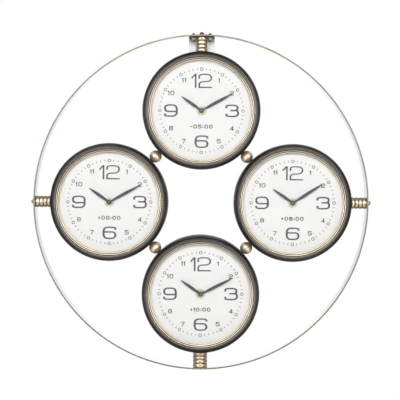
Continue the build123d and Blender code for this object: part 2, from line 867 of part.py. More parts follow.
def make_battery_contacts():
    """A sprung strip at each end of the bay, with a button that bears on the cell."""
    wall = cavity_half - seat_clearance
    strip = wall - contact_thickness
    button = (battery_body + battery_nub_length) / 2 + contact_gap
    with BuildPart() as contacts:
        for centre in at_clocks((0, bay_centre)):
            for side in (1, -1):
                with BuildSketch(end_plane(centre, battery_depth).offset(side * strip)):
                    Rectangle(contact_height, contact_width)
                extrude(amount=side * contact_thickness)
                with BuildSketch(end_plane(centre, battery_depth).offset(side * button)):
                    Circle(contact_button_radius)
                extrude(amount=side * (strip - button))
    save(contacts, "battery_contacts")


def make_hub_nuts():
    """A brass nut with its washer on each bushing, clamping dial and movement together."""
    bore = bushing_radius + thread_clearance
    washer_front = dial_front + hub_washer_thickness
    with BuildPart() as nuts:
        with BuildSketch(face_plane((0, 0), dial_front)):
            with Locations(*at_clocks()):
                Circle(hub_washer_radius)
                Circle(bore, mode=Mode.SUBTRACT)
        extrude(amount=hub_washer_thickness)
        with BuildSketch(face_plane((0, 0), washer_front)):
            with Locations(*at_clocks()):
                RegularPolygon(hub_nut_flats / 2, 6, major_radius=False)
                Circle(bore, mode=Mode.SUBTRACT)
        extrude(amount=hub_nut_height)
    save(nuts, "hub_nuts")


# Moving pieces


def make_centre_wheel(name):
    """The arbor that carries the minute hand, with the wheel that drives it and the cannon pinion."""
    centre = clock_centres[name]
    with BuildPart() as wheel:
        disc(centre, centre_pivot_radius, boss_top - pivot_depth, centre_wheel_back)
        gear(
            centre, centre_teeth, going_module, third_direction, wheel_tooth,
            centre_wheel_back, centre_wheel_front,
        )
        disc(centre, arbor_hub_radius, centre_wheel_front, cannon_back)
        gear(
            centre, motion_pinion_leaves, minute_module, setting_direction + 180 / motion_pinion_leaves,
            pinion_leaf, cannon_back, cannon_front,
        )
        disc(centre, centre_arbor_radius, cannon_front, centre_arbor_front)
    save(wheel, f"{name}_centre_wheel")


def make_hour_wheel(name):
    """The wheel and tube that carry the hour hand round the centre arbor."""
    centre = clock_centres[name]
    bore = centre_arbor_radius + running_clearance
    with BuildPart() as wheel:
        gear(
            centre, hour_teeth, hour_module, setting_direction, wheel_tooth,
            hour_wheel_back, hour_wheel_front,
        )
        disc(centre, bore + hour_tube_wall, hour_wheel_front, hour_tube_front)
        disc(centre, bore, hour_wheel_back, hour_tube_front, Mode.SUBTRACT)
    save(wheel, f"{name}_hour_wheel")


def make_setting_wheel(name):
    """The minute wheel, its pinion and the knob behind the movement, on one stem."""
    place = added(clock_centres[name], setting_arbor)
    with BuildPart() as wheel:
        with BuildSketch(face_plane(place, knob_rear)):
            Circle(knob_radius)
            with PolarLocations(knob_radius, knob_ribs):
                Circle(knob_rib_radius, mode=Mode.SUBTRACT)
        extrude(amount=knob_thickness)
        disc(place, setting_stem_radius, knob_front, minute_wheel_back)
        gear(
            place, minute_teeth, minute_module, setting_direction + 180, wheel_tooth,
            minute_wheel_back, minute_wheel_front,
        )
        disc(place, arbor_hub_radius * 0.9, minute_wheel_front, minute_pinion_back)
        gear(
            place, motion_pinion_leaves, hour_module,
            opposite_gap(setting_direction, motion_pinion_leaves), pinion_leaf,
            minute_pinion_back, hour_wheel_front,
        )
        disc(place, setting_pivot_radius, hour_wheel_front, plate_face + pivot_depth)
    save(wheel, f"{name}_setting_wheel")


def make_third_wheel(name):
    """The wheel between the motor and the centre wheel."""
    place = added(clock_centres[name], third_arbor)
    with BuildPart() as wheel:
        disc(place, small_pivot_radius, boss_top - pivot_depth, third_wheel_back)
        gear(
            place, third_teeth, going_module, rotor_direction, wheel_tooth,
            third_wheel_back, third_wheel_front,
        )
        disc(place, third_hub_radius, third_wheel_front, third_pinion_back)
        gear(
            place, going_pinion_leaves, going_module,
            opposite_gap(third_direction, going_pinion_leaves), pinion_leaf,
            third_pinion_back, third_pinion_front,
        )
        disc(place, small_pivot_radius, third_pinion_front, plate_face + pivot_depth)
    save(wheel, f"{name}_third_wheel")


def make_rotor(name):
    """The motor's magnet and the pinion that drives the third wheel."""
    place = added(clock_centres[name], rotor_arbor)
    with BuildPart() as rotor:
        disc(place, small_pivot_radius, boss_top - pivot_depth, rotor_pinion_back)
        gear(
            place, going_pinion_leaves, going_module,
            opposite_gap(rotor_direction, going_pinion_leaves), pinion_leaf,
            rotor_pinion_back, rotor_pinion_front,
        )
        disc(place, small_pivot_radius, rotor_pinion_front, magnet_back)
        disc(place, magnet_radius, magnet_back, magnet_front)
        disc(place, small_pivot_radius, magnet_front, plate_face + pivot_depth)
    save(rotor, f"{name}_rotor")


def blade(centre, angle, length, back):
    """A leaf-shaped hand, widest before its middle."""
    root, waist, tip = hand_root_width / 2, hand_waist_width / 2, hand_tip_width / 2
    with BuildSketch(face_plane(centre, back, angle)) as leaf:
        with BuildLine():
            Line((0, -root), (0, root))
            ThreePointArc((0, root), (length * hand_waist_share, waist), (length, tip))
            Line((length, tip), (length, -tip))
            ThreePointArc((length, -tip), (length * hand_waist_share, -waist), (0, -root))
        make_face()
    extrude(leaf.sketch, amount=hand_thickness)


def make_hour_hand(name):
    centre = clock_centres[name]
    angle = 90 - 30 * (shown_hour + shown_minutes[name] / 60)
    bore = centre_arbor_radius + running_clearance + hour_tube_wall + press_clearance
    with BuildPart() as hand:
        blade(centre, angle, hour_hand_length, hour_hub_back)
        disc(centre, hour_hub_radius, hour_hub_back, hour_tube_front)
        disc(centre, bore, hour_hub_back, hour_tube_front, Mode.SUBTRACT)
    save(hand, f"{name}_hour_hand")


def make_minute_hand(name):
    centre = clock_centres[name]
    angle = 90 - 6 * shown_minutes[name]
    with BuildPart() as hand:
        blade(centre, angle, minute_hand_length, minute_hub_back)
        disc(centre, minute_hub_radius, minute_hub_back, cap_back)
        disc(centre, cap_radius, cap_back, cap_back + cap_height)
        disc(
            centre, centre_arbor_radius + press_clearance, minute_hub_back,
            centre_arbor_front + press_clearance, Mode.SUBTRACT,
        )
    save(hand, f"{name}_minute_hand")


os.makedirs("parts", exist_ok=True)
make_outer_ring()
make_hanger_plate()
make_hanger_fasteners()
make_ring_screws()
make_ring_posts()
make_link_balls()
make_case_screws()
make_back_covers()
make_movement_cases()
make_movement_covers()
make_motor_stators()
make_motor_coils()
make_circuit_boards()
make_batteries()
make_battery_contacts()
make_hub_nuts()
for clock in clock_directions:
    make_case(clock)
    make_bezel(clock)
    make_lens(clock)
    make_dial(clock)
    make_centre_wheel(clock)
    make_hour_wheel(clock)
    make_setting_wheel(clock)
    make_third_wheel(clock)
    make_rotor(clock)
    make_hour_hand(clock)
    make_minute_hand(clock)
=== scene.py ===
"""World time clock: finishes, dial print, hand pins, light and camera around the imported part."""
import math
from collections import namedtuple

import bmesh
import bpy
from mathutils import Matrix, Vector


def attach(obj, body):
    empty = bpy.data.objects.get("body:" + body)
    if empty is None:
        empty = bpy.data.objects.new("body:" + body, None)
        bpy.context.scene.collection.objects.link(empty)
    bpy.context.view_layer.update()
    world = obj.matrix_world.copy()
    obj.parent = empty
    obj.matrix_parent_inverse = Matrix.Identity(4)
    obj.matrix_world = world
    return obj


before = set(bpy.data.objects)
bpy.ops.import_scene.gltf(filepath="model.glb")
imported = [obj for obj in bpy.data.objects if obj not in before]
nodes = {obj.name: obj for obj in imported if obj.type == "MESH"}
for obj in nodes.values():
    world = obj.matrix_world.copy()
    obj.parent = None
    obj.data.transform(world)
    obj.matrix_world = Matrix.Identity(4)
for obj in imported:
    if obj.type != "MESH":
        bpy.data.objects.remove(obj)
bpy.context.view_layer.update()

MM = 0.001
ROOT = "hoop_and_cases"

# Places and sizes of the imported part, in metres
HOOP_HEIGHT = -0.2463
ORBIT = 0.14589
CENTRES = {
    "top": (0.0, HOOP_HEIGHT + ORBIT),
    "right": (ORBIT, HOOP_HEIGHT),
    "bottom": (0.0, HOOP_HEIGHT - ORBIT),
    "left": (-ORBIT, HOOP_HEIGHT),
}
DIAL_FACE = -0.027
HOOP_FRONT = -0.030
CASE_EDGE = 0.09371
POST_START = ORBIT + CASE_EDGE
POST_PITCH = 0.0247 / 4
FOOT_TOP = HOOP_HEIGHT - POST_START + 0.001
BEZEL_INNER = 0.07906
BEZEL_PITCH = 0.0074 / 3
CAP_FRONT = -0.0359

# Where the finishes change, mostly as a start and an end.
# In metres, but shares of a normal and angles in radians where the name says so.
HOOP_SIDES = (0.15, 0.255)
HOOP_INSIDE = (0.26455, 0.26435)
SIDE_SCREWS = (0.1, 0.2)
FIRST_GROOVE = (0.0793, 0.0802)
BEZEL_SMOKE = (0.0808, 0.0868)
BEZEL_LINE = 0.00062
LIP_EDGE = (0.0880, 0.0872)
LIP_FRONT = (-0.0440, -0.0448)
OUTWARD_SHADE_ANGLES = (1.30, 0.30)
POST_SHADE_SHARES = (0.86, 0.52)
FOOT_FADE = (FOOT_TOP, FOOT_TOP - 0.002)
BALL_SHADE_SHARES = (0.82, 0.20)
DIAL_EDGE_SHADE = (0.0752, 0.0792)
CELL_BAND = 0.0118
CELL_END = 0.0240
WIRE_PITCH = 0.00022
FLANGE_DEPTHS = (-0.0022, -0.0040)
NUT_SPAN = (0.2600, 0.2640)


class Nodes:
    """A node tree under construction. Most methods add a node and return a socket for the next."""

    def __init__(self, tree):
        self.tree = tree

    def add(self, kind, inputs=None, **settings):
        """Adds any node, with sockets or constants on its inputs, and returns the node itself."""
        node = self.tree.nodes.new(kind)
        for key, value in settings.items():
            setattr(node, key, value)
        for key, value in (inputs or {}).items():
            self.feed(node.inputs[key], value)
        return node

    def feed(self, socket, value):
        if isinstance(value, bpy.types.NodeSocket):
            self.tree.links.new(value, socket)
        else:
            socket.default_value = value

    def math(self, operation, *values):
        return self.add("ShaderNodeMath", dict(enumerate(values)), operation=operation).outputs[0]

    def split(self, vector):
        return self.add("ShaderNodeSeparateXYZ", {0: vector}).outputs

    def joined(self, x, y, z):
        return self.add("ShaderNodeCombineXYZ", {0: x, 1: y, 2: z}).outputs[0]

    def noise(self, vector, scale, detail, roughness):
        inputs = {"Vector": vector, "Scale": scale, "Detail": detail, "Roughness": roughness}
        return self.add("ShaderNodeTexNoise", inputs).outputs[0]

    def fade(self, value, start, end, low=0.0, high=1.0):
        """Goes smoothly from low to high while the value goes from start to end."""
        inputs = {0: value, 1: start, 2: end, 3: low, 4: high}
        return self.add("ShaderNodeMapRange", inputs, interpolation_type="SMOOTHSTEP").outputs[0]

    def blend(self, factor, one, other):
        node = self.add("ShaderNodeMix", {0: factor, 6: one, 7: other}, data_type="RGBA")
        return node.outputs[2]

    def bump(self, height, strength, distance):
        inputs = {"Height": height, "Strength": strength, "Distance": distance}
        return self.add("ShaderNodeBump", inputs).outputs[0]

    def length(self, one, other):
        squares = [self.math("MULTIPLY", value, value) for value in (one, other)]
        return self.math("SQRT", self.math("ADD", *squares))


class Finish(Nodes):
    """One node-based material, placed by the part's own coordinates."""

    def __init__(self, name):
        self.material = bpy.data.materials.new(name)
        self.material.use_nodes = True
        super().__init__(self.material.node_tree)
        self.bsdf = self.tree.nodes["Principled BSDF"]
        self.output = self.tree.nodes["Material Output"]
        coordinates = self.add("ShaderNodeTexCoord")
        self.place = coordinates.outputs["Object"]
        self.facing = coordinates.outputs["Normal"]

    def surface(self, **values):
        """Sets the shader's inputs, with _ for each blank in a name, and returns the material."""
        for key, value in values.items():
            self.feed(self.bsdf.inputs[key.replace("_", " ")], value)
        return self.material

    def hoop_polar(self):
        """Turn angle, depth and distance from the hoop's centre."""
        x, y, z = self.split(self.place)
        height = self.math("SUBTRACT", z, HOOP_HEIGHT)
        angle = self.math("ARCTAN2", x, height)
        return angle, y, self.length(x, height)

    def clock_polar(self):
        """Turn angle, depth and distance from the middle of the nearest clock."""
        x, y, z = self.split(self.place)
        across = self.math("ABSOLUTE", x)
        height = self.math("ABSOLUTE", self.math("SUBTRACT", z, HOOP_HEIGHT))
        out = self.math("SUBTRACT", self.math("MAXIMUM", across, height), ORBIT)
        side = self.math("MINIMUM", across, height)
        return self.math("ARCTAN2", side, out), y, self.length(out, side)

    def front_share(self):
        """1 on what faces the front, 0 on what faces sideways, -1 on what faces the wall."""
        return self.math("MULTIPLY", self.split(self.facing)[1], -1.0)


def colour(red, green, blue):
    """A linear colour for a node's socket."""
    return (red, green, blue, 1.0)


WHITE = colour(1.0, 1.0, 1.0)
GOLD = colour(0.75, 0.605, 0.44)
# Brown patina for hollows, also used as painted shade on the posts and balls.
PATINA_AND_SHADE = colour(0.160, 0.100, 0.055)
GUNMETAL = colour(0.060, 0.053, 0.052)


def turned_streaks(finish, polar, along, across):
    """Fine lines that run round, as a lathe or a polishing wheel leaves them."""
    angle, depth, distance = polar
    vector = finish.joined(
        finish.math("MULTIPLY", angle, along),
        finish.math("MULTIPLY", depth, across),
        finish.math("MULTIPLY", distance, across),
    )
    return finish.noise(vector, 1.0, 4.0, 0.6)


def hoop_finish():
    """A gold band, worn in patches, with a painted white reflection on its inside and a greyer
    painted reflection at its left and right.
    """
    f = Finish("antique_gold_band")
    polar = f.hoop_polar()
    streaks = turned_streaks(f, polar, 12.0, 900.0)
    patches = f.noise(f.place, 24.0, 4.0, 0.5)
    mixed = f.math("ADD", f.math("MULTIPLY", patches, 0.65), f.math("MULTIPLY", streaks, 0.35))
    wear = f.math("MULTIPLY", f.fade(mixed, 0.40, 0.66), 0.8)
    # Painted reflection: the band is greyer at its left and right.
    aside = f.fade(f.math("ABSOLUTE", f.split(f.place)[0]), *HOOP_SIDES)
    gold = f.blend(wear, colour(0.345, 0.295, 0.22), colour(0.24, 0.20, 0.145))
    side_gold_reflected = f.blend(wear, colour(0.33, 0.31, 0.25), colour(0.24, 0.225, 0.18))
    gold = f.blend(aside, gold, side_gold_reflected)
    # Painted reflection of the white surroundings on the inside face, greyer at the sides.
    inside = f.math("MULTIPLY", f.fade(polar[2], *HOOP_INSIDE), f.fade(f.front_share(), 0.6, 0.2))
    reflected_white = f.blend(aside, colour(0.97, 0.965, 0.96), colour(0.58, 0.57, 0.58))
    smooth = f.fade(streaks, 0.2, 0.8, 0.07, 0.14)
    satin = f.fade(streaks, 0.2, 0.8, 0.22, 0.36)
    rough = f.add("ShaderNodeMix", {0: inside, 2: satin, 3: smooth}).outputs[0]
    return f.surface(
        Base_Color=f.blend(inside, gold, reflected_white),
        Metallic=1.0,
        Roughness=rough,
        Normal=f.bump(streaks, 0.05, 0.0001),
    )


def bezel_finish():
    """Stepped rings, pale where they are rubbed and brown in the grooves and towards the case."""
    f = Finish("antique_gold_bezel")
    polar = f.clock_polar()
    distance = polar[2]
    streaks = turned_streaks(f, polar, 9.0, 2600.0)
    patches = f.noise(f.place, 60.0, 3.0, 0.5)
    along = f.math("SUBTRACT", distance, BEZEL_INNER)
    phase = f.math("MULTIPLY", along, math.pi / BEZEL_PITCH)
    valley = f.math("ABSOLUTE", f.math("COSINE", phase))
    lines = f.math("SINE", f.math("MULTIPLY", distance, 2 * math.pi / BEZEL_LINE))
    smoke = f.fade(distance, *BEZEL_SMOKE, 0.0, 0.70)
    dirt = f.math("MULTIPLY", f.fade(patches, 0.42, 0.75), 0.25)
    filled = f.fade(f.math("ADD", valley, smoke), 0.42, 0.90)
    groove = f.math("MULTIPLY", filled, f.fade(distance, *FIRST_GROOVE, 0.40, 0.97))
    dark = f.math("MAXIMUM", groove, dirt)
    polish = f.fade(streaks, 0.3, 0.7)
    worn = f.blend(polish, colour(0.90, 0.83, 0.69), colour(0.76, 0.69, 0.56))
    relief = f.math("ADD", f.math("MULTIPLY", lines, 0.35), streaks)
    return f.surface(
        Base_Color=f.blend(dark, worn, colour(0.080, 0.063, 0.050)),
        Metallic=1.0,
        Roughness=f.fade(streaks, 0.2, 0.8, 0.24, 0.40),
        Normal=f.bump(relief, 0.35, 0.00012),
    )


def case_finish():
    """Gunmetal, rubbed at the lip round the bezel and lightened there with a painted highlight,
    darker with painted shade on the half that faces the hoop.
    """
    f = Finish("gunmetal_case")
    polar = f.clock_polar()
    streaks = turned_streaks(f, polar, 7.0, 1500.0)
    grain = f.noise(f.place, 2600.0, 2.0, 0.6)
    patches = f.noise(f.place, 48.0, 3.0, 0.5)
    base = f.blend(f.fade(patches, 0.35, 0.7), GUNMETAL, colour(0.043, 0.038, 0.037))
    scuffs = f.math("MULTIPLY", f.fade(streaks, 0.55, 0.8), 0.3)
    base = f.blend(scuffs, base, colour(0.125, 0.110, 0.104))
    # Painted highlight on the crest of the lip, over its rubbed wear.
    lightened = f.math("MULTIPLY", f.fade(polar[2], *LIP_EDGE), f.fade(polar[1], *LIP_FRONT))
    # Painted shade on the half of each case that faces the hoop.
    outward_shade = f.fade(polar[0], *OUTWARD_SHADE_ANGLES, 0.0, 0.5)
    worn = f.blend(f.math("MULTIPLY", lightened, 0.5), base, colour(0.24, 0.22, 0.20))
    return f.surface(
        Base_Color=f.blend(outward_shade, worn, colour(0.012, 0.010, 0.010)),
        Specular_Tint=colour(0.60, 0.58, 0.57),
        Metallic=0.85,
        Roughness=f.fade(patches, 0.3, 0.7, 0.32, 0.44),
        Normal=f.bump(f.math("ADD", grain, streaks), 0.12, 0.00012),
    )


def post_finish():
    """Turned beads: pale gold at the front, painted shade brown at the sides, a little patina in
    the grooves.
    """
    f = Finish("antique_gold_turned")
    polar = f.hoop_polar()
    along = f.math("SUBTRACT", polar[2], POST_START)
    phase = f.math("MULTIPLY", along, math.pi / POST_PITCH)
    valley = f.math("POWER", f.math("ABSOLUTE", f.math("COSINE", phase)), 9.0)
    patches = f.noise(f.place, 260.0, 3.0, 0.55)
    # Painted shade on the sides of the posts.
    shade = f.fade(f.front_share(), *POST_SHADE_SHARES, 0.0, 0.92)
    dirt = f.math("MULTIPLY", f.fade(patches, 0.45, 0.75), 0.25)
    foot = f.fade(f.split(f.place)[2], *FOOT_FADE, 0.0, 0.34)
    groove = f.math("MULTIPLY", valley, 0.35)
    dark = f.math("MAXIMUM", groove, f.math("MAXIMUM", shade, dirt))
    dark = f.math("MAXIMUM", dark, foot)
    return f.surface(
        Base_Color=f.blend(dark, GOLD, PATINA_AND_SHADE),
        Metallic=f.fade(dark, 0.3, 0.9, 1.0, 0.35),
        Roughness=f.fade(patches, 0.3, 0.7, 0.22, 0.33),
        Normal=f.bump(patches, 0.08, 0.0002),
    )


def ball_finish():
    """Gold balls, with painted shade brown where they turn away from the front."""
    f = Finish("antique_gold_ball")
    patches = f.noise(f.place, 220.0, 4.0, 0.6)
    pits = f.noise(f.place, 1500.0, 2.0, 0.5)
    # Painted shade where the balls turn away from the front.
    shade = f.fade(f.front_share(), *BALL_SHADE_SHARES, 0.0, 0.92)
    dirt = f.math("MULTIPLY", f.fade(patches, 0.48, 0.72), 0.25)
    dark = f.math("MAXIMUM", shade, dirt)
    return f.surface(
        Base_Color=f.blend(dark, colour(0.88, 0.735, 0.52), PATINA_AND_SHADE),
        Metallic=0.72,
        Roughness=f.fade(patches, 0.3, 0.7, 0.28, 0.38),
        Coat_Weight=0.2,
        Coat_Roughness=0.12,
        Normal=f.bump(pits, 0.06, 0.0001),
    )


def screw_finish():
    """Brown screw heads above and below, paler ones at the two sides."""
    f = Finish("antique_gold_screw")
    patches = f.noise(f.place, 420.0, 3.0, 0.55)
    wear = f.fade(patches, 0.38, 0.66)
    brown = f.blend(wear, colour(0.105, 0.082, 0.060), colour(0.040, 0.031, 0.024))
    lightened = f.blend(wear, colour(0.44, 0.38, 0.30), colour(0.22, 0.18, 0.135))
    aside = f.fade(f.math("ABSOLUTE", f.split(f.place)[0]), *SIDE_SCREWS)
    return f.surface(
        Base_Color=f.blend(aside, brown, lightened),
        Metallic=1.0,
        Roughness=f.fade(patches, 0.3, 0.7, 0.25, 0.40),
        Normal=f.bump(patches, 0.1, 0.0001),
    )


def brushed_finish(name, light, dark, spread, shaded_and_dark=None):
    """Sheet or turned metal with fine lines along X, darkened where the given mask says so."""
    f = Finish(name)
    x, y, z = f.split(f.place)
    vector = f.joined(
        f.math("MULTIPLY", x, spread * 0.04),
        f.math("MULTIPLY", y, spread),
        f.math("MULTIPLY", z, spread),
    )
    lines = f.noise(vector, 1.0, 4.0, 0.65)
    patches = f.noise(f.place, 140.0, 3.0, 0.5)
    mixed = f.math("ADD", f.math("MULTIPLY", lines, 0.5), f.math("MULTIPLY", patches, 0.5))
    base = f.blend(f.fade(mixed, 0.35, 0.68), light, dark)
    # The mask puts painted shade on the hanger's flange, and darkens the screws' heads and ends.
    if shaded_and_dark:
        shade_and_dark_tone = f.blend(mixed, colour(0.055, 0.042, 0.035), colour(0.105, 0.080, 0.066))
        base = f.blend(shaded_and_dark(f), base, shade_and_dark_tone)
    return f.surface(
        Base_Color=base,
        Metallic=1.0,
        Roughness=f.fade(lines, 0.25, 0.75, 0.28, 0.46),
        Normal=f.bump(lines, 0.1, 0.0001),
    )


def turned_metal_finish(name, light, dark, rough=(0.2, 0.36)):
    """Lathe-turned metal: lines run round the nearest clock's middle."""
    f = Finish(name)
    streaks = turned_streaks(f, f.clock_polar(), 5.0, 5200.0)
    patches = f.noise(f.place, 300.0, 3.0, 0.5)
    mixed = f.math("ADD", f.math("MULTIPLY", streaks, 0.6), f.math("MULTIPLY", patches, 0.4))
    return f.surface(
        Base_Color=f.blend(f.fade(mixed, 0.34, 0.68), light, dark),
        Metallic=1.0,
        Roughness=f.fade(streaks, 0.25, 0.75, *rough),
        Normal=f.bump(streaks, 0.12, 0.0001),
    )


def moulded_finish(name, light, dark, grain_size=900.0, rough=(0.42, 0.6)):
    """Moulded plastic with a fine spark-eroded grain."""
    f = Finish(name)
    grain = f.noise(f.place, grain_size, 3.0, 0.6)
    patches = f.noise(f.place, 55.0, 2.0, 0.5)
    mixed = f.math("ADD", f.math("MULTIPLY", grain, 0.5), f.math("MULTIPLY", patches, 0.5))
    return f.surface(
        Base_Color=f.blend(f.fade(mixed, 0.35, 0.68), light, dark),
        Roughness=f.fade(grain, 0.3, 0.7, *rough),
        Normal=f.bump(grain, 0.25, 0.00012),
    )


def dial_finish():
    """White coat, with painted shade and a warm painted reflection of the gold bezel near its edge.
    """
    f = Finish("dial_white_coat")
    grain = f.noise(f.place, 3200.0, 2.0, 0.5)
    patches = f.noise(f.place, 40.0, 3.0, 0.5)
    mixed = f.math("ADD", f.math("MULTIPLY", grain, 0.35), f.math("MULTIPLY", patches, 0.65))
    shades = f.fade(mixed, 0.3, 0.7)
    white = f.blend(shades, colour(0.905, 0.902, 0.895), colour(0.885, 0.882, 0.872))
    # Painted shade and warm reflection from the bezel, on the dial's outer ring.
    edge_shade = f.fade(f.clock_polar()[2], *DIAL_EDGE_SHADE)
    return f.surface(
        Base_Color=f.blend(edge_shade, white, colour(0.88, 0.835, 0.75)),
        Roughness=f.fade(grain, 0.3, 0.7, 0.45, 0.6),
        Normal=f.bump(grain, 0.05, 0.00003),
    )


def ink_finish():
    """Matt printing ink, nearly black."""
    f = Finish("dial_ink")
    grain = f.noise(f.place, 1800.0, 2.0, 0.5)
    shades = f.fade(grain, 0.35, 0.7)
    return f.surface(
        Base_Color=f.blend(shades, colour(0.040, 0.040, 0.042), colour(0.062, 0.061, 0.062)),
        Roughness=f.fade(grain, 0.3, 0.7, 0.45, 0.6),
        Normal=f.bump(grain, 0.05, 0.00002),
    )


def hand_finish():
    """Dark grey paint with a faint sheen."""
    f = Finish("hand_dark_grey")
    grain = f.noise(f.place, 2200.0, 2.0, 0.5)
    patches = f.noise(f.place, 160.0, 2.0, 0.5)
    shades = f.fade(patches, 0.35, 0.7)
    return f.surface(
        Base_Color=f.blend(shades, colour(0.062, 0.062, 0.064), colour(0.044, 0.044, 0.046)),
        Metallic=0.3,
        Roughness=f.fade(grain, 0.3, 0.7, 0.34, 0.46),
        Normal=f.bump(grain, 0.06, 0.00003),
    )


def glass_finish():
    """Clear glass. Light from the lamps passes straight through it to the dial."""
    f = Finish("clear_glass")
    film = f.noise(f.place, 26.0, 3.0, 0.5)
    f.surface(
        Base_Color=WHITE,
        Roughness=f.fade(film, 0.3, 0.7, 0.035, 0.06),
        IOR=1.25,
        Transmission_Weight=1.0,
    )
    rays = f.add("ShaderNodeLightPath").outputs
    through = f.math("MAXIMUM", rays["Is Shadow Ray"], rays["Is Diffuse Ray"])
    clear = f.add("ShaderNodeBsdfTransparent").outputs[0]
    mix = f.add("ShaderNodeMixShader", {0: through, 1: f.bsdf.outputs[0], 2: clear})
    f.feed(f.output.inputs["Surface"], mix.outputs[0])
    return f.material


def battery_finish():
    """A plain cell: dark sleeve, a copper band at the positive end and bare metal ends."""
    f = Finish("cell_sleeve")
    x, _, z = f.split(f.place)
    height = f.math("SUBTRACT", z, HOOP_HEIGHT)
    level = f.math("GREATER_THAN", f.math("ABSOLUTE", x), ORBIT / 2)
    middle = f.math("MULTIPLY", f.math("MULTIPLY", f.math("SIGN", x), level), ORBIT)
    along = f.math("SUBTRACT", x, middle)
    grain = f.noise(f.place, 700.0, 3.0, 0.5)
    band = f.math("GREATER_THAN", along, CELL_BAND)
    ends = f.math("GREATER_THAN", f.math("ABSOLUTE", along), CELL_END)
    sleeve = f.blend(grain, colour(0.022, 0.024, 0.028), colour(0.034, 0.036, 0.040))
    banded = f.blend(band, sleeve, colour(0.58, 0.34, 0.16))
    return f.surface(
        Base_Color=f.blend(ends, banded, colour(0.66, 0.66, 0.64)),
        Metallic=f.math("MAXIMUM", f.math("MULTIPLY", band, 0.8), ends),
        Roughness=f.fade(grain, 0.3, 0.7, 0.24, 0.36),
        Normal=f.bump(f.math("MULTIPLY", height, grain), 0.05, 0.0001),
    )


def coil_finish():
    """Enamelled copper wire, wound close."""
    f = Finish("enamelled_copper")
    height = f.split(f.place)[2]
    turns = f.math("SINE", f.math("MULTIPLY", height, 2 * math.pi / WIRE_PITCH))
    patches = f.noise(f.place, 500.0, 2.0, 0.5)
    shades = f.fade(patches, 0.3, 0.7)
    return f.surface(
        Base_Color=f.blend(shades, colour(0.62, 0.30, 0.14), colour(0.44, 0.19, 0.08)),
        Metallic=1.0,
        Roughness=f.fade(patches, 0.3, 0.7, 0.24, 0.36),
        Normal=f.bump(turns, 0.5, 0.0001),
    )


def flange_mask(f):
    """1 on the part of the hanger that runs forward under the hoop, which gets painted shade."""
    return f.fade(f.split(f.place)[1], *FLANGE_DEPTHS, 0.0, 0.96)


def shank_mask(f):
    """0 on the nuts under the hanger, 1 on the screws' heads and ends."""
    distance = f.hoop_polar()[2]
    above = f.math("GREATER_THAN", distance, NUT_SPAN[0])
    below = f.math("LESS_THAN", distance, NUT_SPAN[1])
    return f.math("SUBTRACT", 1.0, f.math("MULTIPLY", above, below))


finishes = {
    "outer_ring": hoop_finish(),
    "hanger_plate": brushed_finish(
        "zinc_plate", colour(0.60, 0.59, 0.565), colour(0.51, 0.50, 0.475), 500.0, flange_mask),
    "hanger_fasteners": brushed_finish(
        "fastener_zinc", colour(0.82, 0.80, 0.77), colour(0.62, 0.60, 0.57), 1600.0, shank_mask),
    "ring_screws": screw_finish(),
    "ring_posts": post_finish(),
    "link_balls": ball_finish(),
    "case_screws": brushed_finish(
        "inner_screw_steel", colour(0.60, 0.60, 0.59), colour(0.46, 0.46, 0.45), 1500.0),
    "hub_nuts": turned_metal_finish(
        "nut_brass", colour(0.64, 0.63, 0.45), colour(0.46, 0.45, 0.31)),
    "battery_contacts": brushed_finish(
        "contact_nickel", colour(0.72, 0.71, 0.69), colour(0.58, 0.57, 0.55), 1800.0),
    "back_covers": moulded_finish(
        "back_cover_black", colour(0.030, 0.030, 0.032), colour(0.018, 0.018, 0.020)),
    "movement_cases": moulded_finish(
        "movement_black", colour(0.026, 0.026, 0.027), colour(0.015, 0.015, 0.016), 1300.0),
    "movement_covers": moulded_finish(
        "movement_cover_black", colour(0.034, 0.034, 0.036), colour(0.020, 0.020, 0.022), 1300.0),
    "batteries": battery_finish(),
    "motor_coils": coil_finish(),
    "motor_stators": brushed_finish(
        "stator_steel", colour(0.52, 0.53, 0.54), colour(0.38, 0.39, 0.40), 1400.0),
    "circuit_boards": moulded_finish(
        "board_mask", colour(0.035, 0.22, 0.12), colour(0.020, 0.15, 0.08), 700.0, (0.25, 0.4)),
}
white_wheel = moulded_finish(
    "wheel_acetal", colour(0.80, 0.79, 0.75), colour(0.72, 0.71, 0.67), 1500.0, (0.35, 0.5))
clock_finishes = {
    "case": case_finish(),
    "bezel": bezel_finish(),
    "lens": glass_finish(),
    "dial": dial_finish(),
    "centre_wheel": turned_metal_finish(
        "wheel_brass", colour(0.74, 0.62, 0.34), colour(0.60, 0.48, 0.24)),
    "hour_wheel": white_wheel,
    "setting_wheel": moulded_finish(
        "knob_black", colour(0.040, 0.040, 0.042), colour(0.024, 0.024, 0.026), 1600.0),
    "third_wheel": white_wheel,
    "rotor": turned_metal_finish(
        "rotor_magnet", colour(0.34, 0.34, 0.36), colour(0.24, 0.24, 0.26)),
    "hour_hand": hand_finish(),
}
clock_finishes["minute_hand"] = clock_finishes["hour_hand"]
for clock in CENTRES:
    for piece, finish in clock_finishes.items():
        finishes[f"{clock}_{piece}"] = finish
for name, finish in finishes.items():
    for slot in nodes[name].material_slots:
        slot.material = finish
ink = ink_finish()
pin_steel = turned_metal_finish(
    "pin_steel", colour(0.26, 0.255, 0.25), colour(0.18, 0.175, 0.17), (0.3, 0.42))


# Dial print, drawn as ribbons of ink, and the pins in the hands' caps

INK_BACK, INK_FRONT = DIAL_FACE - 0.00001, DIAL_FACE - 0.00005
CORNER_STEPS, CORNER_PULL = 7, 0.64
SHARPEST_BEND = 0.6
RING_STEPS = 28
PIN_SIDES = 24

